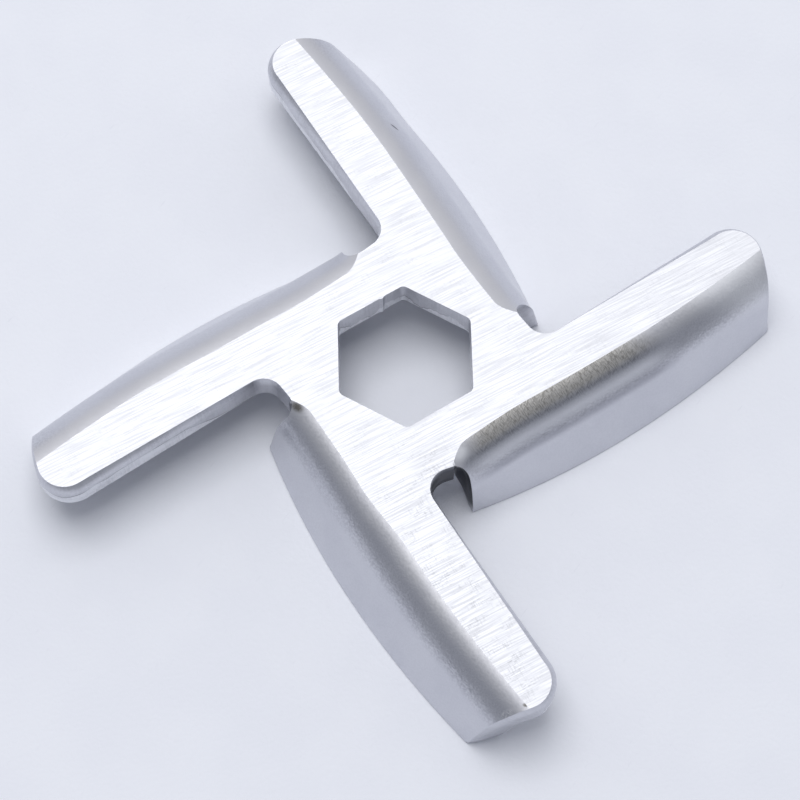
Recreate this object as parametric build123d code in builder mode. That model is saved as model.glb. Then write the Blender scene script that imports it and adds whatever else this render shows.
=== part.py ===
from build123d import *
from math import acos, atan, cos, degrees, radians, sin, sqrt, tan
import os

# Meat grinder knife: one piece, stamped from stainless sheet, its four wings bent down,
# and its top face ground flat to run against the hole plate. Millimetres, +Z up.
# Origin on the drive axis, in the plane that the four feet stand on.

# ---- overall ----
blade_count = 4
overall_height = 5.0            # feet to ground face
land_radius = 24.0              # swept by the ground face
sheet_thickness = 2.15          # before grinding
grind_depth = 0.10              # taken off the top by the surface grinder
hub_radius = 6.0                # middle that the four blades grow from

# ---- drive hole ----
shaft_across_flats = 8.0        # hexagonal end of the feed screw
shaft_clearance = 0.35
hole_corner_radius = 0.4
hole_turn = 13.2                # one corner of the hexagon from the X axis, degrees

# ---- one blade, pointing along +Y: cutting edge on its left, wing on its right ----
blade_start = 0.62              # from the drive axis, where the wing's bend begins
edge_tilt = 14.4                # cutting edge from the blade's axis, degrees
edge_offset = 3.72              # of the edge's line from the drive axis
tip_corner_radius = 2.6
notch_radius = 1.35             # relief slot behind the cutting edge, at the edge's side
notch_floor = 8.0               # from the drive axis
slot_end_radius = 0.78          # the same slot, where it turns into the next wing's root

# ---- rounding that the stamping die leaves along the sheared top edge ----
roll_depth = 0.75
roll_width_notch = 0.15
roll_width_edge = 0.42          # on the cutting edge, at its tip end
roll_width_tip = 0.20           # round the swept tip
roll_corner_tightening = 0.55   # the wall's tip corner is this much tighter than the ground face's
roll_steps = ((0.0, 1.0), (0.3, 0.45), (1.0, 0.0))      # share of its depth, share of its width

# ---- wing: the line where the bend starts and the line of its foot, root to tip ----
bend_start_root = 5.43
bend_start_tip = -1.28
bend_start_bow = 0.76
root_pinch = 1.57               # at its root end the bend starts this much further out
root_pinch_length = 2.4
foot_root = 9.68
foot_tip = 3.17
foot_bow = 1.41
inner_bend_radius = 1.65
inner_bend_radius_root = 0.5
foot_corner_root = 0.25         # lower corner of the wing at the hub
foot_corner_tip = 0.4           # lower corner of the wing at the tip
wing_sections = 12
section_crowding = 1.5          # sections stand closer together towards the root, where the bend tightens
tip_overrun = 1.0               # the wing is bent this far past its tip, then trimmed round
foot_overrun = 0.4              # and this far below its foot, then trimmed level

stock_top = overall_height + grind_depth
wall_radius = land_radius + roll_width_tip
wing_length = wall_radius + tip_overrun - blade_start


def bowed(root, tip, bow, share):
    """A shallow curve from root to tip, standing off its chord by bow at mid-length."""
    return root + (tip - root) * share + 4 * bow * share * (1 - share)


def wing_section(share):
    """Where the bend starts, its foot and its inner radius, at a share of the wing's length."""
    pinch = max(0.0, 1 - share * wing_length / root_pinch_length) ** 2
    start = bowed(bend_start_root, bend_start_tip, bend_start_bow, share) + root_pinch * pinch
    foot = bowed(foot_root, foot_tip, foot_bow, share)
    inner = inner_bend_radius + (inner_bend_radius_root - inner_bend_radius) * pinch
    # a foot close to the bend's start leaves room only for a tighter bend
    widest_outer = ((foot - start) ** 2 / stock_top + stock_top) / 2
    return start, foot, min(inner, widest_outer - sheet_thickness)


def bend_turn(start, foot, outer):
    """Degrees that the sheet turns through so that the wing's outside lands on its foot line."""
    run = foot - start
    half = atan(stock_top / (run + sqrt(max(0.0, run ** 2 - stock_top * (2 * outer - stock_top)))))
    return 2 * degrees(half)


# the relief slot ends where the ground face meets the wing's root
start_at_root, _, inner_at_root = wing_section(0.0)
outer_at_root = inner_at_root + sheet_thickness
land_root = start_at_root + sqrt(outer_at_root ** 2 - (outer_at_root - grind_depth) ** 2)
slot_end_reach = land_root + slot_end_radius


def blade_plan(width_share):
    """Plan of one blade, standing outside the ground face by a share of the rounding's width."""
    tilt = radians(edge_tilt)
    notch_y = notch_floor + notch_radius
    notch_x = (edge_offset - notch_radius - notch_y * sin(tilt)) / cos(tilt)
    notch = Vector(notch_x, notch_y)
    relief = notch_radius - roll_width_notch * width_share
    flare = atan((roll_width_edge - roll_width_notch) / (land_radius - notch_y))
    turn = tilt + flare * width_share
    across = Vector(cos(turn), sin(turn))
    along = Vector(-sin(turn), cos(turn))
    # cutting edge, from the notch to the tip corner
    edge_start = notch + across * relief
    tip_radius = land_radius + roll_width_tip * width_share
    corner_radius = tip_corner_radius - roll_corner_tightening * width_share
    corner_across = edge_start.dot(across) + corner_radius
    corner_reach = tip_radius - corner_radius
    corner = across * corner_across + along * sqrt(corner_reach ** 2 - corner_across ** 2)
    edge_end = corner - across * corner_radius
    tip_start = corner * (tip_radius / corner_reach)
    corner_middle = corner + (edge_end + tip_start - corner * 2).normalized() * corner_radius
    # floor of the slot: a straight between the notch and the round at the next wing's root
    slot_end = Vector(-blade_start, slot_end_reach)
    end_relief = slot_end_radius - roll_width_notch * width_share
    to_end = slot_end - notch
    lean = degrees(acos((relief - end_relief) / to_end.length))
    floorward = to_end.rotate(Axis.Z, lean).normalized()
    floor_start = slot_end + floorward * end_relief
    floor_end = notch + floorward * relief
    lip = slot_end - Vector(0, end_relief)
    lip_middle = slot_end + (floor_start + lip - slot_end * 2).normalized() * end_relief
    notch_middle = notch + (edge_start + floor_end - notch * 2).normalized() * relief
    # the swept tip, carried round past the wing, and the same slot's round at this wing's root
    own_end = Vector(slot_end_reach, blade_start)
    root_top = own_end + Vector(0, end_relief)
    root_middle = own_end + Vector(-1, 1).normalized() * end_relief
    root_inner = own_end - Vector(end_relief, 0)
    swept_middle = Vector(1, 1).normalized() * tip_radius
    swept_end = Vector(sqrt(tip_radius ** 2 - root_top.Y ** 2), root_top.Y)
    with BuildSketch() as plan:
        with BuildLine():
            Polyline(root_inner, (root_inner.X, 0), (-blade_start, 0), lip)
            ThreePointArc(lip, lip_middle, floor_start)
            Line(floor_start, floor_end)
            ThreePointArc(floor_end, notch_middle, edge_start)
            Line(edge_start, edge_end)
            ThreePointArc(edge_end, corner_middle, tip_start)
            ThreePointArc(tip_start, swept_middle, swept_end)
            Line(swept_end, root_top)
            ThreePointArc(root_top, root_middle, root_inner)
        make_face()
    return plan.sketch


# sheet bent along its whole length, left square at the cutting side and the tip
with BuildPart() as bent_sheet:
    for step in range(wing_sections + 1):
        share = (step / wing_sections) ** section_crowding
        start, foot, inner = wing_section(share)
        outer = inner + sheet_thickness
        turn = bend_turn(start, foot, outer)
        centre = (start, stock_top - outer)
        left = -tip_corner_radius
        foot_width = sheet_thickness / sin(radians(turn))
        toe = foot + foot_overrun / tan(radians(turn))
        with BuildSketch(Plane.XZ.offset(-blade_start - share * wing_length)):
            with BuildLine():
                outside = CenterArc(centre, outer, 90, -turn)
                inside = CenterArc(centre, inner, 90, -turn)
                Polyline(outside @ 1, (toe, -foot_overrun), (toe - foot_width, -foot_overrun), inside @ 1)
                Polyline(inside @ 0, (left, stock_top - sheet_thickness), (left, stock_top), outside @ 0)
            make_face()
    loft()

# what the stamping die and the grinder leave: rounded sheared edges under a flat face
with BuildPart() as stamping:
    for depth_share, width_share in roll_steps:
        with BuildSketch(Plane.XY.offset(overall_height - roll_depth * depth_share)):
            add(blade_plan(1 - width_share))
    loft(ruled=True)
    with BuildSketch(Plane.XY.offset(overall_height - roll_depth)):
        add(blade_plan(1))
    extrude(amount=roll_depth - overall_height)

with BuildPart() as blade:
    add(bent_sheet.part)
    add(stamping.part, mode=Mode.INTERSECT)
    foot_face = faces().sort_by(Axis.Z)[0]
    fillet(foot_face.edges().sort_by(Axis.Y)[-1], foot_corner_tip)
    wing_root = blade_start + slot_end_radius - roll_width_notch
    with BuildSketch(Plane.YZ):
        with BuildLine():
            corner_middle = (wing_root + foot_corner_root, foot_corner_root)
            corner_arc = CenterArc(corner_middle, foot_corner_root, 180, 90)
            Polyline(corner_arc @ 0, (wing_root, 0), corner_arc @ 1)
        make_face()
    extrude(amount=foot_root + sheet_thickness, mode=Mode.SUBTRACT)

with BuildPart() as knife:
    with BuildSketch(Plane.XY.offset(stock_top - sheet_thickness)):
        Circle(hub_radius)
    extrude(amount=sheet_thickness - grind_depth)
    with PolarLocations(0, blade_count):
        add(blade.part)
    with BuildSketch(Plane.XY.offset(overall_height)) as drive_hole:
        half_flats = (shaft_across_flats + shaft_clearance) / 2
        RegularPolygon(half_flats, 6, major_radius=False, rotation=hole_turn)
        fillet(drive_hole.vertices(), hole_corner_radius)
    extrude(amount=-overall_height, mode=Mode.SUBTRACT)

os.makedirs("parts", exist_ok=True)
knife.part.label = "knife"
export_step(knife.part, "parts/knife.step")
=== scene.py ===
import math

import bpy
import numpy as np
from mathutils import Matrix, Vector
from mathutils.geometry import delaunay_2d_cdt


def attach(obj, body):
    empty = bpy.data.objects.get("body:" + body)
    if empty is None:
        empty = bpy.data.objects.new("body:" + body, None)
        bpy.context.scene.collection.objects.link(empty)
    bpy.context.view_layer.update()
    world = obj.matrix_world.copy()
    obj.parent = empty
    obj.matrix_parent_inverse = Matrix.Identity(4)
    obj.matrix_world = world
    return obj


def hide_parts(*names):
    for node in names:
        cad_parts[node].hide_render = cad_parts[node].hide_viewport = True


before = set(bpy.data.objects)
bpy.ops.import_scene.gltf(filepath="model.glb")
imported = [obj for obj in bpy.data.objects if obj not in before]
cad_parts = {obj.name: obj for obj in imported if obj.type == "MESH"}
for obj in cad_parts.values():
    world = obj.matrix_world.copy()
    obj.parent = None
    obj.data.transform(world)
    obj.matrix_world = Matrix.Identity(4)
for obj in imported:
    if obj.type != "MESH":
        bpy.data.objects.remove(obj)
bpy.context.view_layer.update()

# ---------------------------------------------------------------------------
# The knife: one stamping of 2.15 mm stainless sheet. The press shears its outline and drive hole
# in one stroke and folds the long side of each of its four blades down into a wing. It is then
# tumbled among stones, and its flat face is ground level. It drops on the feed screw's hexagon.
# ---------------------------------------------------------------------------

# sizes in millimetres; one blade points along +Y, its cutting edge on the left, its wing on the right
ground_level = 5.0
grind_depth = 0.10
stock_top = ground_level + grind_depth
sheet_thickness = 2.15
land_radius = 24.0
swept_radius = 24.2
blade_start = 0.62
# the fold is laid out to a little past the tip
wing_length = swept_radius + 1.0 - blade_start
# where the fold starts and its foot stands: next to the hub, at the tip, and the bow between
fold_start = (5.43, -1.28, 0.70)
foot_stand = (9.68, 3.17, 1.41)
inner_bend = 1.65
# next to the hub the fold is pinched: it starts so much further out, and is so much tighter. A
# part of this is gone a short way along the blade, and the rest a longer way along
pinch_out = 1.57
pinch_tighter = 1.15
pinch_parts = (0.55, 0.45)
pinch_lengths = (1.2, 5.5)


def bowed(root, tip, bow, share):
    """A shallow curve from root to tip that stands off its chord by bow at mid-length."""
    return root + (tip - root) * share + 4 * bow * share * (1 - share)


# no two blades are quite alike: how much further out each fold starts, next to the hub and at
# the tip, how much further its foot is spread at the tip, and how much further out its slot ends
root_shift = (0.0, 0.0, 0.46, 0.06)
tip_shift = (0.20, 0.10, 0.10, 0.30)
foot_shift = (0.32, 0.0, 0.0, 0.0)
slot_shift = (0.0, 0.0, 0.26, 0.0)
# where along the blade the first of these fades out and the next two come in, and over what length
root_shift_fades = (7.5, 5.0)
tip_shift_comes = (9.0, 9.0)
foot_shift_comes = (17.5, 4.5)
# a fold that starts further out is tighter by this much of it
tightening = 1.5


def eased(value, begin, length):
    """0 up to begin, then a smooth climb to 1 over a length."""
    share = np.clip((value - begin) / length, 0.0, 1.0)
    return share * share * (3 - 2 * share)


def wing_section(y, k):
    """The fold's start, the foot, the outer bend radius and the turn of the sheet, at y along blade k."""
    share = np.clip((y - blade_start) / wing_length, 0.0, 1.0)
    along = share * wing_length
    short, long = [np.maximum(0.0, 1 - along / length) for length in pinch_lengths]
    pinch = pinch_parts[0] * short ** 2 + pinch_parts[1] * long ** 1.5
    shift = root_shift[k] * (1 - eased(y, *root_shift_fades))
    start = bowed(*fold_start, share) + (pinch_out - root_shift[k]) * pinch + shift
    start = start + tip_shift[k] * eased(y, *tip_shift_comes)
    foot = bowed(*foot_stand, share) + foot_shift[k] * eased(y, *foot_shift_comes)
    outer = sheet_thickness + inner_bend
    outer = outer - (pinch_tighter - tightening * root_shift[k]) * pinch - tightening * shift
    run = foot - start
    turn = 2 * np.arctan(stock_top / (run + np.sqrt(run ** 2 - stock_top * (2 * outer - stock_top))))
    return start, foot, outer, turn


def ground_off(s, y, k):
    """How deep the surface grinder has cut at a point of the flat or the start of the fold."""
    start, _, outer, turn = wing_section(y, k)
    angle = np.clip((s - start) / outer, 0.0, turn)
    return np.maximum(0.0, outer - (outer - grind_depth) / np.cos(angle))


def folded(s, y, depth, k):
    """Where a point of the flat sheet ends up: s across the blade, y along it, depth under its skin."""
    start, _, outer, turn = wing_section(y, k)
    angle = np.clip((s - start) / outer, 0.0, turn)
    straight = (stock_top - outer + outer * np.cos(turn)) / np.sin(turn)
    reach = (stock_top - outer + (outer - depth) * np.cos(turn)) / np.sin(turn)
    along = np.clip((s - start - outer * turn) / straight, 0.0, 1.0) * reach
    x = np.minimum(s, start) + (outer - depth) * np.sin(angle) + along * np.cos(turn)
    z = stock_top - outer + (outer - depth) * np.cos(angle) - along * np.sin(turn)
    return np.stack([x, y + 0 * x, z], -1)


def unfolded(x, y, k):
    """The flat-sheet s of a point on the skin whose plan position is x, y."""
    start, _, outer, turn = wing_section(y, k)
    angle = np.arcsin(np.clip((x - start) / outer, 0.0, np.sin(np.minimum(turn, math.pi / 2))))
    beyond = np.maximum(0.0, x - start - outer * np.sin(turn)) / np.cos(turn)
    return np.minimum(x, start) + outer * angle + beyond


def foot_line(y, k):
    """The flat-sheet s of the wing's foot."""
    start, _, outer, turn = wing_section(y, k)
    return start + outer * turn + (stock_top - outer + outer * np.cos(turn)) / np.sin(turn)


def turned(points, quarters):
    """Points turned clockwise by quarter turns, from one blade to the next."""
    for _ in range(quarters % 4):
        others = [points[..., i] for i in range(2, points.shape[-1])]
        points = np.stack([points[..., 1], -points[..., 0]] + others, -1)
    return points


def arc(centre, radius, from_degrees, to_degrees, step=0.05):
    """Points along an arc, about a step apart."""
    count = max(3, int(abs(math.radians(to_degrees - from_degrees)) * radius / step))
    angles = np.radians(np.linspace(from_degrees, to_degrees, count))
    return np.stack([centre[0] + radius * np.cos(angles), centre[1] + radius * np.sin(angles)], -1)


def bearing(vector):
    """Which way a vector points, in degrees."""
    return math.degrees(math.atan2(vector[1], vector[0]))


# outline of one blade, clockwise from the relief slot's end at the next wing's root
# how wide the die rounds the top edge over: in the slot, along the edge, at the tip and the foot
roll_slot = 0.15
roll_edge = 0.42
roll_tip = 0.20
roll_foot = 0.05
# the slot is a wide arc beside the cutting edge and a tight one at the next wing's root
notch_radius = 1.35
notch_floor = 8.0
end_radius = 0.78
end_floor = 7.72
# the cutting edge leans over, and passes the middle of the knife at this distance
edge_tilt = math.radians(14.4)
edge_offset = 3.72
notch_y = notch_floor + notch_radius
notch_x = (edge_offset - notch_radius - notch_y * math.sin(edge_tilt)) / math.cos(edge_tilt)
notch = np.array([notch_x, notch_y])
relief = notch_radius - roll_slot
lean = edge_tilt + math.atan((roll_edge - roll_slot) / (land_radius - notch_y))
across = np.array([math.cos(lean), math.sin(lean)])
along_edge = np.array([-math.sin(lean), math.cos(lean)])
edge_start = notch + across * relief
corner_radius = 2.05
corner_across = edge_start @ across + corner_radius
corner_reach = swept_radius - corner_radius
corner = across * corner_across + along_edge * math.sqrt(corner_reach ** 2 - corner_across ** 2)
edge_end = corner - across * corner_radius
end_relief = end_radius - roll_slot
tip_bearing = bearing(corner)
root_y = blade_start + end_relief


def softened(first, second, radius):
    """Joins two lines that meet in a corner, the corner rounded off."""
    meet = first[-1]
    first = first[np.hypot(*(first - meet).T) > radius]
    second = second[np.hypot(*(second - meet).T) > radius]
    t = np.linspace(0, 1, 9)[1:-1, None]
    bend = (1 - t) ** 2 * first[-1] + 2 * t * (1 - t) * meet + t ** 2 * second[0]
    return np.concatenate([first, bend, second])


def blade_outline(root_corner, tip_corner, k):
    """One blade's outline on the flat sheet, how wide its top edge is rounded, and where it is torn."""
    slot_end = np.array([-blade_start, end_floor + end_radius + slot_shift[k]])
    to_end = slot_end - notch
    floor_bearing = bearing(to_end) + math.degrees(math.acos((relief - end_relief) / np.hypot(*to_end)))
    slot = np.concatenate([arc(slot_end, end_relief, -90.0, floor_bearing),
                           arc(notch, relief, floor_bearing, math.degrees(lean))])
    edge = edge_start + (edge_end - edge_start) * np.linspace(0, 1, 200)[:, None]
    edge_corner = arc(corner, corner_radius, math.degrees(lean) + 180.0, tip_bearing)
    tip_y = swept_radius
    for _ in range(8):
        tip_x = float(wing_section(np.array(tip_y), k)[1])
        tip_y = math.sqrt(swept_radius ** 2 - tip_x ** 2)
    swept = arc((0, 0), swept_radius, tip_bearing, bearing((tip_x, tip_y)))
    swept = np.stack([unfolded(swept[:, 0], swept[:, 1], k), swept[:, 1]], -1)
    foot_y = np.linspace(tip_y, root_y, 500)
    foot = np.stack([foot_line(foot_y, k), foot_y], -1)
    swept[-1] = foot[0]
    # this blade's own end runs into the next blade's slot
    end_x = end_floor + end_radius + slot_shift[(k + 1) % 4]
    ending = np.stack([np.linspace(foot[-1, 0], unfolded(np.array(end_x), np.array(root_y), k), 120),
                       np.full(120, root_y)], -1)
    own_end = arc((end_x, blade_start), end_relief, 90.0, 180.0)
    own_end = np.stack([unfolded(own_end[:, 0], own_end[:, 1], k), own_end[:, 1]], -1)
    side = softened(np.concatenate([edge_corner, swept]), foot, tip_corner)
    side = softened(side, ending, root_corner)
    line = np.concatenate([slot, edge, side, own_end])
    # the width of the rounding at each of those points
    lengths = [len(slot), len(edge), len(edge_corner)]
    width = np.full(len(line), roll_tip)
    width[:lengths[0]] = roll_slot
    width[lengths[0]:sum(lengths[:2])] = np.linspace(roll_slot, roll_edge, lengths[1])
    width[sum(lengths[:2]):sum(lengths)] = np.linspace(roll_edge, roll_tip, lengths[2])
    at_foot = np.abs(line[:, 0] - foot_line(line[:, 1], k)) < 0.25
    at_foot[:sum(lengths)] = False
    width[at_foot] = roll_foot
    after_foot = np.arange(len(line)) > np.nonzero(at_foot)[0][-1]
    width[after_foot] = roll_slot
    # the feet are trimmed level, not torn
    torn = np.where(at_foot, 0.0, 1.0)
    return np.column_stack([line, width, torn])


def evenly(loop, spacing):
    """A closed loop resampled to even spacing, with its length so far as a last column."""
    keep = np.hypot(*(np.roll(loop, -1, 0) - loop)[:, :2].T) > 1e-4
    loop = loop[keep]
    closed = np.concatenate([loop, loop[:1]])
    run = np.concatenate([[0], np.cumsum(np.hypot(*np.diff(closed[:, :2], axis=0).T))])
    count = int(run[-1] / spacing)
    at = np.linspace(0, run[-1], count, endpoint=False)
    return np.stack([np.interp(at, run, closed[:, i]) for i in range(closed.shape[1])] + [at], -1)


def inward(loop):
    """Unit normals of a clockwise loop, pointing into the sheet."""
    ahead = np.roll(loop[:, :2], -1, 0) - np.roll(loop[:, :2], 1, 0)
    normal = np.stack([ahead[:, 1], -ahead[:, 0]], -1)
    normal /= np.hypot(*normal.T)[:, None]
    for _ in range(2):
        normal = normal + np.roll(normal, 1, 0) + np.roll(normal, -1, 0)
        normal /= np.hypot(*normal.T)[:, None]
    return normal


# lower corners of the four wings, at the root and at the tip: no two are trimmed quite alike
root_corners = (0.25, 0.18, 0.45, 0.30)
tip_corners = (0.40, 0.35, 0.45, 0.40)
rim_step = 0.11
rim = [turned(blade_outline(root_corners[k], tip_corners[k], k), k) for k in range(4)]
rim = evenly(np.concatenate(rim), rim_step)
rim_normal = inward(rim)
for _ in range(6):
    rim[:, 2:4] = (rim[:, 2:4] + np.roll(rim[:, 2:4], 1, 0) + np.roll(rim[:, 2:4], -1, 0)) / 3

# the drive hole: the feed screw's hexagon and its play, drawn anticlockwise so that the sheet lies
# on the same side of it
screw_flats = 8.0
hole_play = 0.35
hole_round = 0.4
hole_turn = 13.2
hole_edge_width = 0.05
bore_step = 0.10
corner_out = ((screw_flats + hole_play) / 2 - hole_round) / math.cos(math.radians(30))
bore = []
for i in range(6):
    towards = math.radians(hole_turn + 60 * i)
    bore.append(arc((corner_out * math.cos(towards), corner_out * math.sin(towards)), hole_round,
                    math.degrees(towards) - 30, math.degrees(towards) + 30))
    after = math.radians(hole_turn + 60 * (i + 1))
    side_start = bore[-1][-1]
    side_end = np.array([corner_out * math.cos(after), corner_out * math.sin(after)]) + hole_round * np.array(
        [math.cos(after - math.radians(30)), math.sin(after - math.radians(30))])
    bore.append(side_start + (side_end - side_start) * np.linspace(0.01, 0.99, 60)[:, None])
bore = np.concatenate(bore)
bore = evenly(np.column_stack([bore, np.full(len(bore), hole_edge_width), np.ones(len(bore))]), bore_step)
bore_normal = inward(bore)
# a small burr left standing on the hole's edge
burr_x, burr_y = -0.14, 4.26
burr_spread = 0.13
burr_height = 0.09
burr = np.exp(-(np.hypot(bore[:, 0] - burr_x, bore[:, 1] - burr_y) / burr_spread) ** 2)
bore[:, :2] -= bore_normal * burr[:, None] * burr_height


def inside(points, loop):
    """Which points lie inside a closed loop."""
    found = np.zeros(len(points), bool)
    x1, y1 = loop[:, 0], loop[:, 1]
    x2, y2 = np.roll(x1, -1), np.roll(y1, -1)
    for part in np.array_split(np.arange(len(points)), max(1, len(points) // 4000)):
        px, py = points[part, 0:1], points[part, 1:2]
        crosses = ((y1 > py) != (y2 > py)) & (px < (x2 - x1) * (py - y1) / (y2 - y1 + 1e-12) + x1)
        found[part] = crosses.sum(1) % 2 == 1
    return found


def clear_of(points, others, gap):
    """Which points keep a gap from all the others."""
    ok = np.ones(len(points), bool)
    for part in np.array_split(np.arange(len(points)), max(1, len(points) // 4000)):
        d = ((points[part, None, :] - others[None, :, :]) ** 2).sum(-1).min(1)
        ok[part] = d > gap ** 2
    return ok


# where the grinder's flat runs out on each fold: the edge of the cutting face
land_y = np.linspace(blade_start + 0.02, 23.9, 170)
lands = []
for k in range(4):
    land_start, _, land_outer, _ = wing_section(land_y, k)
    land_s = land_start + land_outer * np.arccos((land_outer - grind_depth) / land_outer)
    lands.append(turned(np.stack([land_s, land_y], -1), k))

# the flat sheet is meshed between its outlines, with a grid of points and those edges inside it
rim_top = rim[:, :2] + rim_normal * rim[:, 2:3]
bore_top = bore[:, :2] + bore_normal * bore[:, 2:3]
pitch = 0.25
reach = 26.0
off_centre = 0.013
# how far the points stay from the outlines, and from those edges
outline_gap = 0.13
land_gap = 0.09
land_end_gap = 0.06
ticks = np.arange(-reach, reach + 0.01, pitch)
grid = np.stack(np.meshgrid(ticks, ticks), -1).reshape(-1, 2) + off_centre
grid = grid[inside(grid, rim_top) & ~inside(grid, bore_top)]
borders = np.concatenate([rim_top, bore_top])
lands = [line[inside(line, rim_top)] for line in lands]
lands = [line[clear_of(line, rim_top, land_end_gap)] for line in lands]
grid = grid[clear_of(grid, borders, outline_gap)]
grid = grid[clear_of(grid, np.concatenate(lands), land_gap)]

flat_points = np.concatenate([rim_top, bore_top] + lands + [grid])
edges = []
first = len(rim_top) + len(bore_top)
for line in lands:
    edges += [(first + i, first + i + 1) for i in range(len(line) - 1)]
    first += len(line)
rim_face = list(range(len(rim_top)))[::-1]
bore_face = [len(rim_top) + i for i in range(len(bore_top))]
made = delaunay_2d_cdt([Vector(p) for p in flat_points], edges, [rim_face, bore_face], 1, 1e-6)
flat = np.array([v[:] for v in made[0]])
triangles = np.array([f for f in made[2]])
came_from = made[3]
centres = flat[triangles].mean(1)
triangles = triangles[~inside(centres, bore_top)]
first_corner = flat[triangles[:, 0]]
flipped = np.cross(flat[triangles[:, 1]] - first_corner, flat[triangles[:, 2]] - first_corner) < 0
triangles[flipped] = triangles[flipped][:, ::-1]
on_rim = {}
on_bore = {}
for i, sources in enumerate(came_from):
    for j in sources:
        if j < len(rim_top):
            on_rim[j] = i
        elif j < len(rim_top) + len(bore_top):
            on_bore[j - len(rim_top)] = i


def own_blade(points):
    """Which blade's wing a flat-sheet point belongs to, or -1 on the flat."""
    owner = np.full(len(points), -1)
    for k in range(4):
        own = turned(points[:, :2], -k)
        start = wing_section(own[:, 1], k)[0]
        mine = (own[:, 1] > blade_start - 0.01) & (own[:, 0] > start)
        mine &= own[:, 0] < foot_line(own[:, 1], k) + 1.0
        owner[mine] = k
    return owner


def stamped(points, depth, from_ground=True):
    """Flat-sheet points as they stand in the finished knife, depth under its surface."""
    out = np.column_stack([points[:, :2], np.full(len(points), stock_top)])
    depth = depth + np.zeros(len(points))
    out[:, 2] -= np.minimum(sheet_thickness, depth + grind_depth if from_ground else depth)
    owner = own_blade(points)
    for k in range(4):
        mine = owner == k
        own = turned(points[mine, :2], -k)
        under = depth[mine] + (ground_off(own[:, 0], own[:, 1], k) if from_ground else 0)
        out[mine] = turned(folded(own[:, 0], own[:, 1], np.minimum(under, sheet_thickness), k), k)
    return out


# the sheared wall, row by row from the cutting face down to the underside: the rounding's rows are
# shares of its depth, and the rows below it are shares of what remains
roll_depth = 0.75
roll_curve = 2.24
roll_rows = (0.08, 0.18, 0.32, 0.5, 0.75, 1.0)
wall_rows = (0.12, 0.26, 0.40, 0.54, 0.68, 0.84, 1.0)
# the fracture line wanders in waves round the outline: how many, and their height
fracture_waves = ((7, 0.22), (17, 0.12), (61, 0.05), (140, 0.03))
fracture_blend = 0.12
# the punch burnishes this much deeper where the outline turns sharply, at the slots and the
# tips, which is where the top edge is rounded less than so wide
deeper_burnish = 0.55
sharp_turn_width = 0.26
sharp_turn_fade = 0.06
# the slot's end is trimmed upright as far as this along the blade, and square to the sheet after
upright_fades = (0.75, 0.40)
# a tight fold squeezes the sheet's inner side out past the wing's end: how far at most, over
# what length it comes in, where it stops along the blade, and how far down the wing it fades
squeeze = 0.45
squeeze_comes = 0.25
squeeze_stop = 1.5
squeeze_fades = 2.5


def wall(loop, normal, seed, fracture, roughness):
    """Rings of vertices down a sheared wall, and how far each lies below the fracture line."""
    rng = np.random.default_rng(seed)
    rings = []
    past_fracture = []
    count = len(loop)
    wander = np.zeros(count)
    for waves, size in fracture_waves:
        wander += size * np.sin(np.arange(count) / count * waves * 2 * math.pi + rng.uniform(0, 6.28))
    full = sheet_thickness - grind_depth - roll_depth
    sharp_turn = np.clip((sharp_turn_width - loop[:, 2]) / sharp_turn_fade, 0, 1) * (loop is rim)
    fracture = fracture + deeper_burnish * sharp_turn
    fracture_depth = roll_depth + full * np.maximum(fracture + wander, 0.02)
    for share in roll_rows:
        offset = loop[:, 2:3] * (1 - share) ** roll_curve
        rings.append(stamped(loop[:, :2] + normal * offset, roll_depth * share))
        past_fracture.append(roll_depth * share - fracture_depth)
    owner = own_blade(loop)
    upright = np.zeros((count, 1))
    squeezed = np.zeros((count, 2))
    edge = rings[-1][:, :2]
    for k in range(4):
        own = turned(loop[:, :2], -k)
        start, _, outer, turn = wing_section(own[:, 1], k)
        past_bend = own[:, 0] - start - outer * turn
        upright[owner == k, 0] = 1 - eased(own[owner == k, 1], *upright_fades)
        size = squeeze * eased(own[:, 1], blade_start, squeeze_comes)
        size = size * (1 - eased(past_bend, 0.0, squeeze_fades))
        size = np.where((owner == k) & (own[:, 1] < squeeze_stop), size, 0.0)
        squeezed += turned(np.stack([0 * size, -size], -1), k)
    for share in wall_rows:
        below = np.clip((share - fracture - wander) / fracture_blend, 0, 1)
        offset = roughness * below
        offset = offset + roughness * 0.3 * below * np.abs(rng.standard_normal(count))
        if share == 1.0:
            offset = offset + roughness * 0.8
        offset = offset * loop[:, 3]
        rings.append(stamped(loop[:, :2] + normal * offset[:, None], roll_depth + full * share))
        rings[-1][:, :2] += (edge - rings[-1][:, :2]) * upright + squeezed * share
        past_fracture.append(roll_depth + full * share - fracture_depth)
    return rings, past_fracture, -fracture_depth


top = stamped(flat, 0.0)
vertices = [top]
faces = [tuple(t) for t in triangles]
centres = flat[triangles].mean(1)
owner = own_blade(centres)
finish_of = np.zeros(len(triangles), int)
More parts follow.
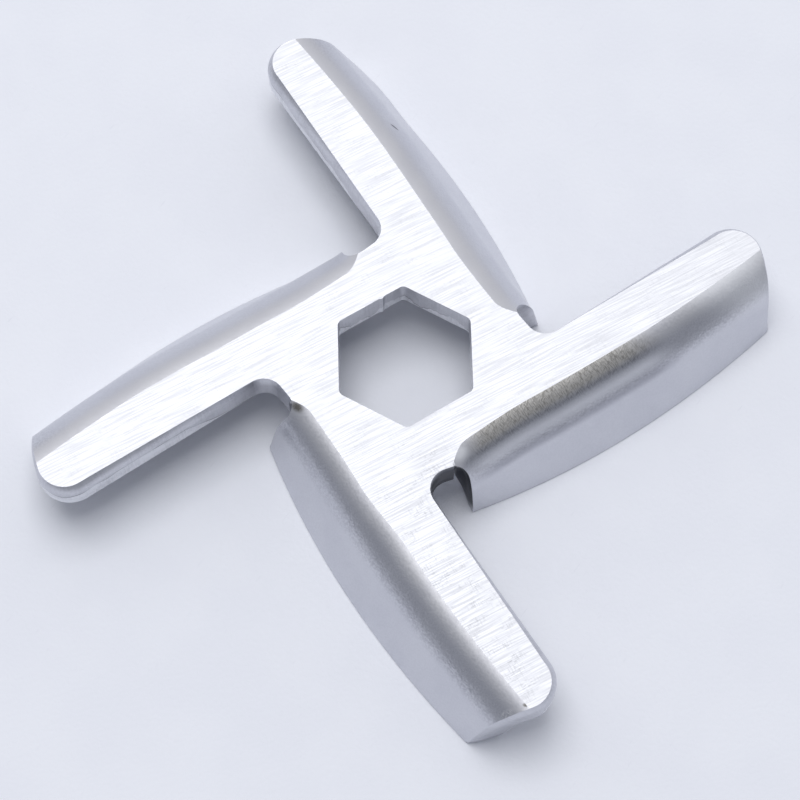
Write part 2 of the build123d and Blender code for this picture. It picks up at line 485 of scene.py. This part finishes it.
# a map in millimetres: along the blade and out from the cutting face's edge, or far from any edge
# on the flat; on a sheared wall, along the outline and down from the fracture line
no_edge_near = -9.0
blade_map = np.full((len(triangles), 3, 2), no_edge_near)
for k in range(4):
    mine = owner == k
    own = turned(flat[triangles[mine]], -k)
    start, _, outer, _ = wing_section(own[..., 1], k)
    edge_s = start + outer * np.arccos((outer - grind_depth) / outer)
    blade_map[mine] = np.stack([own[..., 1], own[..., 0] - edge_s], -1)
    own = turned(centres[mine], -k)
    finish_of[mine] = ground_off(own[:, 0], own[:, 1], k) <= 0
finish_of = finish_of.tolist()
total = len(top)
bottom_first = total
under = stamped(flat, sheet_thickness, from_ground=False)
vertices.append(under)
faces += [tuple(t[::-1] + bottom_first) for t in triangles]
finish_of += [1] * len(triangles)
total += len(under)
wall_maps = []
for loop, normal, index, seed, fracture, roughness in (
    (rim, rim_normal, on_rim, 3, 0.22, 0.014),
    (bore, bore_normal, on_bore, 8, 0.55, 0.012),
):
    rings, levels, top_level = wall(loop, normal, seed, fracture, roughness)
    count = len(loop)
    columns = [np.array([index[i] for i in range(count)])]
    levels = [top_level] + levels
    for ring in rings[:-1]:
        vertices.append(ring)
        columns.append(total + np.arange(count))
        total += count
    vertices[1][columns[0]] = rings[-1]
    columns.append(columns[0] + bottom_first)
    length = loop[:, -1]
    next_length = np.append(length[1:], length[-1] + rim_step)
    for (a, b), (high, low) in zip(zip(columns, columns[1:]), zip(levels, levels[1:])):
        ahead_a, ahead_b = np.roll(a, -1), np.roll(b, -1)
        faces += list(zip(a.tolist(), ahead_a.tolist(), ahead_b.tolist(), b.tolist()))
        next_high, next_low = np.roll(high, -1), np.roll(low, -1)
        corners = [(length, high), (next_length, next_high), (next_length, next_low), (length, low)]
        wall_maps.append(np.stack([np.stack(corner, -1) for corner in corners], 1))
        finish_of += [2] * count

knife_mesh = bpy.data.meshes.new("grinder_knife")
in_metres = np.concatenate(vertices) * 0.001
knife_mesh.from_pydata(in_metres.tolist(), [], [tuple(int(i) for i in face) for face in faces])
knife_mesh.polygons.foreach_set("material_index", finish_of)
sheet_map = knife_mesh.uv_layers.new(name="sheet_mm")
parts = [blade_map, blade_map[:, ::-1]] + wall_maps
sheet_map.data.foreach_set("uv", np.concatenate([part.ravel() for part in parts]))
knife_mesh.update()
knife_mesh.validate()
knife = bpy.data.objects.new("grinder_knife", knife_mesh)
bpy.context.scene.collection.objects.link(knife)
knife_mesh.shade_smooth()
knife_mesh.set_sharp_from_angle(angle=math.radians(24))
# the edge of the cutting face is a shallow but crisp line
edge_finish = {}
for polygon in knife_mesh.polygons:
    for key in polygon.edge_keys:
        edge_finish.setdefault(key, set()).add(polygon.material_index)
for edge in knife_mesh.edges:
    if len(edge_finish[edge.key]) > 1:
        edge.use_edge_sharp = True


def linear(hex_colour):
    """sRGB hex to the linear colour that the shader takes."""
    parts = [int(hex_colour[i:i + 2], 16) / 255 for i in (0, 2, 4)]
    return [c / 12.92 if c <= 0.04045 else ((c + 0.055) / 1.055) ** 2.4 for c in parts] + [1.0]


def add(tree, kind, settings, output=0):
    """Adds a node and gives one of its outputs. A setting is a property, an input's value or its link."""
    node = tree.nodes.new(kind)
    for name, value in settings.items():
        if isinstance(value, bpy.types.NodeSocket):
            tree.links.new(value, node.inputs[name])
        elif isinstance(name, int) or name in node.inputs:
            node.inputs[name].default_value = value
        else:
            setattr(node, name, value)
    return node.outputs[output]


def bare(name, metallic):
    """A new material, with its node tree, its shader's inputs and a place on the piece in millimetres."""
    material = bpy.data.materials.new(name)
    material.use_nodes = True
    tree = material.node_tree
    shader = tree.nodes["Principled BSDF"].inputs
    shader["Metallic"].default_value = metallic
    place = add(tree, "ShaderNodeTexCoord", {}, "Object")
    in_mm = add(tree, "ShaderNodeVectorMath", {"operation": "SCALE", 0: place, "Scale": 1000.0})
    return material, tree, shader, in_mm


def pattern(tree, where, size, turn=0.0, detail=2.0, low=0.35, high=0.65):
    """Noise with features of size millimetres, its long way turned by degrees, spread over 0 to 1."""
    laid = add(tree, "ShaderNodeMapping", {"vector_type": "TEXTURE", "Vector": where, "Scale": size,
                                           "Rotation": (0, 0, math.radians(turn))})
    noise = add(tree, "ShaderNodeTexNoise", {"Vector": laid, "Scale": 1.0, "Detail": detail})
    return add(tree, "ShaderNodeMapRange", {"interpolation_type": "SMOOTHSTEP", "Value": noise,
                                            "From Min": low, "From Max": high})


def band(tree, value, rise, fall):
    """0 below rise, 1 between rise and fall, and 0 above fall, with a smooth climb and descent."""
    climb = add(tree, "ShaderNodeMapRange", {"interpolation_type": "SMOOTHSTEP", "Value": value,
                                             "From Min": rise[0], "From Max": rise[1]})
    descent = add(tree, "ShaderNodeMapRange", {"interpolation_type": "SMOOTHSTEP", "Value": value,
                                               "From Min": fall[0], "From Max": fall[1],
                                               "To Min": 1.0, "To Max": 0.0})
    return add(tree, "ShaderNodeMath", {"operation": "MULTIPLY", 0: climb, 1: descent})


def spot(tree, where, centre, size, turn=0.0, soft=0.5):
    """1 inside an ellipsoid of half-sizes size round centre, fading to 0 over its soft outer share."""
    laid = add(tree, "ShaderNodeMapping", {"vector_type": "TEXTURE", "Vector": where, "Location": centre,
                                           "Scale": size, "Rotation": (0, 0, math.radians(turn))})
    out = add(tree, "ShaderNodeVectorMath", {"operation": "LENGTH", 0: laid}, "Value")
    return add(tree, "ShaderNodeMapRange", {"interpolation_type": "SMOOTHSTEP", "Value": out,
                                            "From Min": 1.0 - soft, "From Max": 1.0,
                                            "To Min": 1.0, "To Max": 0.0})


def coloured(tree, colour, layers):
    """Lays colours over the first. A layer is one or two masks, its strength and its hex colour."""
    colour = linear(colour)
    for *masks, strength, over in layers:
        share = masks[0]
        for factor in masks[1:] + [strength]:
            share = add(tree, "ShaderNodeMath", {"operation": "MULTIPLY", 0: share, 1: factor})
        colour = add(tree, "ShaderNodeMix", {"data_type": "RGBA", 0: share, 6: colour, 7: linear(over)}, 2)
    return colour


def finished(tree, shader, colour, rough, height, microns):
    """Gives a shader its colour, its roughness and a relief that is microns high where height is 1."""
    tree.links.new(colour, shader["Base Color"])
    tree.links.new(rough, shader["Roughness"])
    bump = add(tree, "ShaderNodeBump", {"Height": height, "Distance": microns * 1e-6})
    tree.links.new(bump, shader["Normal"])


# surface ground: fine straight lines all one way across the whole face. The real lines are
# under 0.05 mm apart; here they are 0.09 mm, the finest that still shows. They smear the light
# sideways, so the face looks white from most sides, with short grey dashes where the wheel skipped.
grinding_way = 10.0
ground, tree, shader, in_mm = bare("stainless_surface_ground", 1.0)
lines = pattern(tree, in_mm, (3.2, 0.085, 5.0), grinding_way, 3.0)
skips = pattern(tree, in_mm, (0.34, 0.085, 5.0), grinding_way, 2.0, 0.50, 0.72)
patches = pattern(tree, in_mm, (1.5, 0.9, 5.0), grinding_way, 2.0, 0.42, 0.66)
chatter = pattern(tree, in_mm, (0.10, 0.8, 5.0), grinding_way, 1.0, 0.48, 0.70)
# the wheel cut deepest on one blade
coarse = spot(tree, in_mm, (-1.0, -14.5, 5.0), (6.0, 13.0, 3.0), 0.0, 0.6)
cut_depth = add(tree, "ShaderNodeMapRange", {"interpolation_type": "SMOOTHSTEP", "Value": coarse,
                                             "To Min": 0.35})
chatter = add(tree, "ShaderNodeMath", {"operation": "MULTIPLY", 0: chatter, 1: 0.6})
skipped = add(tree, "ShaderNodeMath", {"operation": "MAXIMUM", 0: skips, 1: chatter})
skipped = add(tree, "ShaderNodeMath", {"operation": "MULTIPLY", 0: skipped, 1: patches})
skipped = add(tree, "ShaderNodeMath", {"operation": "MULTIPLY", 0: skipped, 1: cut_depth})
skin = coloured(tree, "dcdde0", ((lines, cut_depth, 0.20, "bebfc3"), (skipped, 0.60, "a4a5a8")))
rough = add(tree, "ShaderNodeMapRange", {"interpolation_type": "SMOOTHSTEP", "Value": lines,
                                         "To Min": 0.54, "To Max": 0.62})
height = add(tree, "ShaderNodeMath", {"operation": "ADD", 0: lines, 1: skipped})
finished(tree, shader, skin, rough, height, 0.8)

# tumbled: rolled among stones, a soft satin with a fine dimpled grain of about 0.15 mm that
# sparkles wherever the sheet curves and rests quiet on the flat wings
tumbled, tree, shader, in_mm = bare("stainless_tumbled", 1.0)
on_blade = add(tree, "ShaderNodeUVMap", {"uv_map": "sheet_mm"})
along = add(tree, "ShaderNodeSeparateXYZ", {0: on_blade}, 0)
out_from_edge = along.node.outputs[1]
grain = pattern(tree, in_mm, (0.13, 0.13, 0.13), 0.0, 3.0, 0.32, 0.68)
dimples = pattern(tree, in_mm, (0.40, 0.40, 0.40), 20.0, 2.0, 0.30, 0.70)
clouds = pattern(tree, in_mm, (2.4, 2.4, 2.4))
# stretched over the bend, the skin has roughened; the flat wing below it is finer
stretched = band(tree, out_from_edge, (0.15, 1.05), (2.55, 3.45))
coarseness = add(tree, "ShaderNodeMapRange", {"interpolation_type": "SMOOTHSTEP", "Value": stretched,
                                              "To Min": 0.22})
grained = add(tree, "ShaderNodeMath", {"operation": "MULTIPLY", 0: grain, 1: coarseness})
# two of the wings came out of the stones smoother than the others
quiet = add(tree, "ShaderNodeMath", {"operation": "MAXIMUM",
                                     0: spot(tree, in_mm, (6.0, 12.0, 3.0), (9.0, 15.0, 6.0), 0.0, 0.3),
                                     1: spot(tree, in_mm, (-12.0, 6.0, 3.0), (15.0, 9.0, 6.0), 0.0, 0.3)})
quiet = add(tree, "ShaderNodeMapRange", {"interpolation_type": "SMOOTHSTEP", "Value": quiet,
                                         "To Min": 1.0, "To Max": 0.2})
grained = add(tree, "ShaderNodeMath", {"operation": "MULTIPLY", 0: grained, 1: quiet})
# the shoulder next to the cutting face is matt and without dimples, and is painted paler as a painted
# highlight
shoulder = band(tree, out_from_edge, (-0.5, 0.0), (0.6, 1.5))
# one blade's shoulder is browned and cross-scratched where the die rubbed it. Along the bend below,
# painted reflections: a dark band, a bright band and a second dark band under it
one_blade = spot(tree, in_mm, (8.5, -6.0, 3.0), (9.5, 5.0, 6.0), 0.0, 0.35)
nap = add(tree, "ShaderNodeMath", {"operation": "MAXIMUM",
                                   0: pattern(tree, in_mm, (0.06, 0.38, 0.3), 24.0, 2.0, 0.46, 0.66),
                                   1: pattern(tree, in_mm, (0.07, 0.42, 0.3), -38.0, 2.0, 0.50, 0.70)})
past_root = add(tree, "ShaderNodeMapRange", {"interpolation_type": "SMOOTHSTEP", "Value": along,
                                             "From Min": 1.2, "From Max": 3.2})
rubbed, painted_dark_band, painted_bright_band, painted_low_dark_band = [
    add(tree, "ShaderNodeMath", {"operation": "MULTIPLY", 0: band(tree, out_from_edge, rise, fall),
                                 1: one_blade})
    for rise, fall in (((-0.58, -0.02), (0.77, 1.33)), ((0.83, 1.27), (1.18, 1.62)),
                       ((1.30, 2.00), (2.00, 2.70)), ((2.35, 2.95), (2.95, 3.55)))]
rubbed = add(tree, "ShaderNodeMath", {"operation": "MULTIPLY", 0: rubbed, 1: past_root})
worn_nap = add(tree, "ShaderNodeMapRange", {"interpolation_type": "SMOOTHSTEP", "Value": nap, "To Min": 0.5})
# painted highlights: near white at its tip and at the root of its wing, which are rougher as well
painted_end_highlights = add(tree, "ShaderNodeMath", {"operation": "MAXIMUM",
                                         0: spot(tree, in_mm, (21.5, -1.2, 4.0), (5.5, 2.8, 3.0), 0.0, 0.7),
                                         1: spot(tree, in_mm, (1.05, -7.25, 4.9), (1.0, 0.75, 0.9), 0.0, 0.8)})
# small marks of handling: a nick on one bend, tarnish in the crook of another and at its tip, where
# it is scraped as well
nick = spot(tree, in_mm, (4.60, 16.12, 3.95), (0.40, 0.08, 0.7), -52.0, 0.5)
tarnish = add(tree, "ShaderNodeMath", {"operation": "ADD",
                                       0: spot(tree, in_mm, (-7.52, -1.15, 4.95), (0.62, 0.42, 0.45),
                                               -50.0, 0.8),
                                       1: spot(tree, in_mm, (-0.22, -23.72, 4.95), (0.30, 0.17, 0.30),
                                               -15.0, 0.6)})
mottled = add(tree, "ShaderNodeMapRange", {"interpolation_type": "SMOOTHSTEP", "Value": grain, "To Min": 0.75})
tarnish = add(tree, "ShaderNodeMath", {"operation": "MULTIPLY", 0: tarnish, 1: mottled})
tarnish = add(tree, "ShaderNodeMath", {"operation": "MINIMUM", 0: tarnish, 1: 0.85})
scrape = spot(tree, in_mm, (-1.45, -23.80, 4.4), (0.55, 0.35, 0.5), 20.0, 0.5)
skin = coloured(tree, "d2d3d9", (
    (grained, 0.36, "a6a7ae"),
    # painted highlight on the shoulder next to the cutting face
    (shoulder, 0.8, "d8d8da"),
    (clouds, 0.16, "bdbec8"),
    (rubbed, 0.85, "c6c3bc"),
    (rubbed, nap, 0.62, "78756f"),
    # painted reflections along one blade's bend: a dark band, a bright band and a dark band under it
    (painted_dark_band, worn_nap, 0.65, "66676d"),
    (painted_bright_band, 0.85, "f4f5fa"),
    (painted_low_dark_band, 0.55, "8e8f99"),
    # painted highlights at the tip and the wing's root of one blade
    (painted_end_highlights, 0.8, "f6f7f9"),
    (nick, 0.75, "5c5d68"),
    (tarnish, 1.0, "615d53"),
    (scrape, nap, 0.7, "ffffff"),
))
rough = add(tree, "ShaderNodeMapRange", {"interpolation_type": "SMOOTHSTEP", "Value": grain,
                                         "To Min": 0.28, "To Max": 0.36})
rough = add(tree, "ShaderNodeMath", {"operation": "MULTIPLY_ADD", 0: shoulder, 1: 0.09, 2: rough})
# rougher where the bright band and the end highlights are painted
highlit_places = add(tree, "ShaderNodeMath", {"operation": "MAXIMUM", 0: painted_bright_band, 1: painted_end_highlights})
rough = add(tree, "ShaderNodeMath", {"operation": "MULTIPLY_ADD", 0: highlit_places, 1: 0.14, 2: rough})
smoothed = add(tree, "ShaderNodeMapRange", {"interpolation_type": "SMOOTHSTEP", "Value": shoulder,
                                            "To Min": 1.0, "To Max": 0.22})
height = add(tree, "ShaderNodeMath", {"operation": "ADD", 0: grain, 1: dimples})
height = add(tree, "ShaderNodeMath", {"operation": "MULTIPLY", 0: height, 1: coarseness})
height = add(tree, "ShaderNodeMath", {"operation": "MULTIPLY", 0: height, 1: smoothed})
scratches = add(tree, "ShaderNodeMath", {"operation": "MULTIPLY", 0: rubbed, 1: nap})
height = add(tree, "ShaderNodeMath", {"operation": "MULTIPLY_ADD", 0: scratches, 1: 0.4, 2: height})
height = add(tree, "ShaderNodeMath", {"operation": "MULTIPLY_ADD", 0: nick, 1: -5.0, 2: height})
finished(tree, shader, skin, rough, height, 6.0)

# sheared: above the fracture line the punch has burnished the wall into fine upright streaks,
# below it the metal tore away in paler, rougher grain
sheared, tree, shader, in_mm = bare("stainless_sheared", 1.0)
down = add(tree, "ShaderNodeUVMap", {"uv_map": "sheet_mm"})
below = add(tree, "ShaderNodeSeparateXYZ", {0: down}, 1)
streaks = add(tree, "ShaderNodeMath", {"operation": "MULTIPLY",
                                       0: pattern(tree, down, (0.13, 1.8, 1.0), 0.0, 3.0),
                                       1: pattern(tree, down, (0.9, 1.2, 1.0))})
runs = pattern(tree, down, (2.6, 1.0, 1.0), 0.0, 1.0, 0.42, 0.60)
crystals = pattern(tree, in_mm, (0.13, 0.13, 0.13), 0.0, 3.0, 0.30, 0.70)
torn = add(tree, "ShaderNodeMapRange", {"interpolation_type": "SMOOTHSTEP", "Value": below,
                                        "From Min": -0.05, "From Max": 0.10})
fracture_line = band(tree, below, (-0.09, -0.02), (0.02, 0.09))
# painted shade: one notch and the wing's end beside it are painted dark; the top of the wall in the crook of
# another is darker as well
notch_shade = spot(tree, in_mm, (0.10, -8.9, 2.7), (2.4, 2.0, 3.4), 0.0, 0.30)
crook = spot(tree, in_mm, (-8.2, -1.3, 4.2), (1.1, 0.9, 1.2), 0.0, 0.4)
at_top_edge = add(tree, "ShaderNodeMapRange", {"interpolation_type": "SMOOTHSTEP", "Value": below,
                                               "From Min": -0.95, "From Max": -0.60,
                                               "To Min": 1.0, "To Max": 0.0})
skin = coloured(tree, "d4d5db", (
    (torn, 1.0, "f0f1f5"),
    (streaks, 0.24, "a6a7af"),
    (crystals, runs, 0.30, "b0b1b8"),
    (fracture_line, runs, 0.70, "74757d"),
    # painted shade in one notch and on the wing's end beside it; the top of the wall in the crook of another
    # is darker
    (notch_shade, 0.95, "4b4d53"),
    (crook, at_top_edge, 0.75, "4d4b4e"),
))
rough = add(tree, "ShaderNodeMapRange", {"interpolation_type": "SMOOTHSTEP", "Value": torn,
                                         "To Min": 0.42, "To Max": 0.56})
tearing = add(tree, "ShaderNodeMapRange", {"interpolation_type": "SMOOTHSTEP", "Value": torn,
                                           "To Min": 0.4})
height = add(tree, "ShaderNodeMath", {"operation": "MULTIPLY", 0: crystals, 1: tearing})
height = add(tree, "ShaderNodeMath", {"operation": "MULTIPLY_ADD", 0: streaks, 1: 1.2, 2: height})
finished(tree, shader, skin, rough, height, 5.0)

# the order that the mesh's faces were numbered in
for finish in (ground, tumbled, sheared):
    knife_mesh.materials.append(finish)

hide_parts("knife")
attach(knife, "root")

# ---------------------------------------------------------------------------
# The bench: a sheet of pale, faintly blue matt board that the knife stands on, pressed from pulp
# and lying loose. It isn't part of the knife.
# ---------------------------------------------------------------------------

half = 0.8
# a hair under the feet, so that the two don't share a plane
top_of_board = -1e-5
corners = [(x, y, top_of_board) for x, y in ((-half, -half), (half, -half), (half, half), (-half, half))]
bench_mesh = bpy.data.meshes.new("bench")
bench_mesh.from_pydata(corners, [], [(0, 1, 2, 3)])
bench = bpy.data.objects.new("bench", bench_mesh)
bpy.context.scene.collection.objects.link(bench)
# pressed pulp, almost smooth: faint clouds, a few darker fibres, and a shallow tooth
board, tree, shader, in_mm = bare("matt_board", 0.0)
shader["Roughness"].default_value = 0.9
shader["Specular IOR Level"].default_value = 0.2
pulp = pattern(tree, in_mm, (6.0, 6.0, 6.0), 0.0, 3.0)
fibres = pattern(tree, in_mm, (1.4, 0.16, 1.0), 35.0, 2.0, 0.68, 0.80)
tooth = pattern(tree, in_mm, (0.3, 0.3, 0.3))
paper = coloured(tree, "f3f5fa", ((pulp, 0.5, "eff1f7"), (fibres, 0.30, "dcdee6")))
tree.links.new(paper, shader["Base Color"])
bump = add(tree, "ShaderNodeBump", {"Height": tooth, "Distance": 4e-6})
tree.links.new(bump, shader["Normal"])
bench_mesh.materials.append(board)

# ---------------------------------------------------------------------------
# The light: one large soft box above and behind the knife, in a pale room whose ceiling is unlit
# over the near side of the bench. The steel is bright where it mirrors the box and the walls.
# ---------------------------------------------------------------------------

turn_to_camera = math.radians(-18.3)


def from_camera_side(x, y, z):
    """Metres in the camera's own right, away and up directions, as a place in the knife's frame."""
    return (x * math.cos(turn_to_camera) - y * math.sin(turn_to_camera),
            x * math.sin(turn_to_camera) + y * math.cos(turn_to_camera), z)


lamp = bpy.data.lights.new("key_box", "AREA")
lamp.shape = "RECTANGLE"
lamp.size, lamp.size_y = 0.40, 0.44
lamp.energy = 1.82
lamp.color = linear("fdfdff")[:3]
soft_box = bpy.data.objects.new("key_box", lamp)
bpy.context.scene.collection.objects.link(soft_box)
soft_box.location = from_camera_side(-0.057, 0.148, 0.563)
soft_box.rotation_euler = (-soft_box.location).to_track_quat("-Z", "Y").to_euler()

world = bpy.data.worlds.new("pale_room")
bpy.context.scene.world = world
world.use_nodes = True
room = world.node_tree
looking = add(room, "ShaderNodeTexCoord", {}, "Generated")
unlit = Vector(from_camera_side(0.0, -0.935, 0.355)).normalized()
towards = add(room, "ShaderNodeVectorMath", {"operation": "DOT_PRODUCT", 0: looking, 1: unlit}, "Value")
shade = add(room, "ShaderNodeMapRange", {"interpolation_type": "SMOOTHSTEP", "Value": towards,
                                         "From Min": -0.345, "From Max": 0.244})
walls = coloured(room, "dadbe1", ((shade, 1.0, "999ca4"),))
room.links.new(walls, room.nodes["Background"].inputs["Color"])
room.nodes["Background"].inputs["Strength"].default_value = 1.0

# ---------------------------------------------------------------------------
# The camera: well above the knife, looking down at it with a long lens, so that the four blades
# look almost the same size.
# ---------------------------------------------------------------------------

camera = bpy.data.objects.new("camera", bpy.data.cameras.new("camera"))
bpy.context.scene.collection.objects.link(camera)
camera.location = (-0.01923, -0.05712, 0.14867)
aim = Vector((-0.001248, -0.002744, 0.005))
camera.rotation_euler = (aim - camera.location).to_track_quat("-Z", "Y").to_euler()
camera.data.sensor_width = 36.0
camera.data.lens = 111.05
camera.data.clip_start = 0.01
camera.data.clip_end = 10.0
bpy.context.scene.camera = camera
bpy.context.scene.view_settings.view_transform = "Standard"
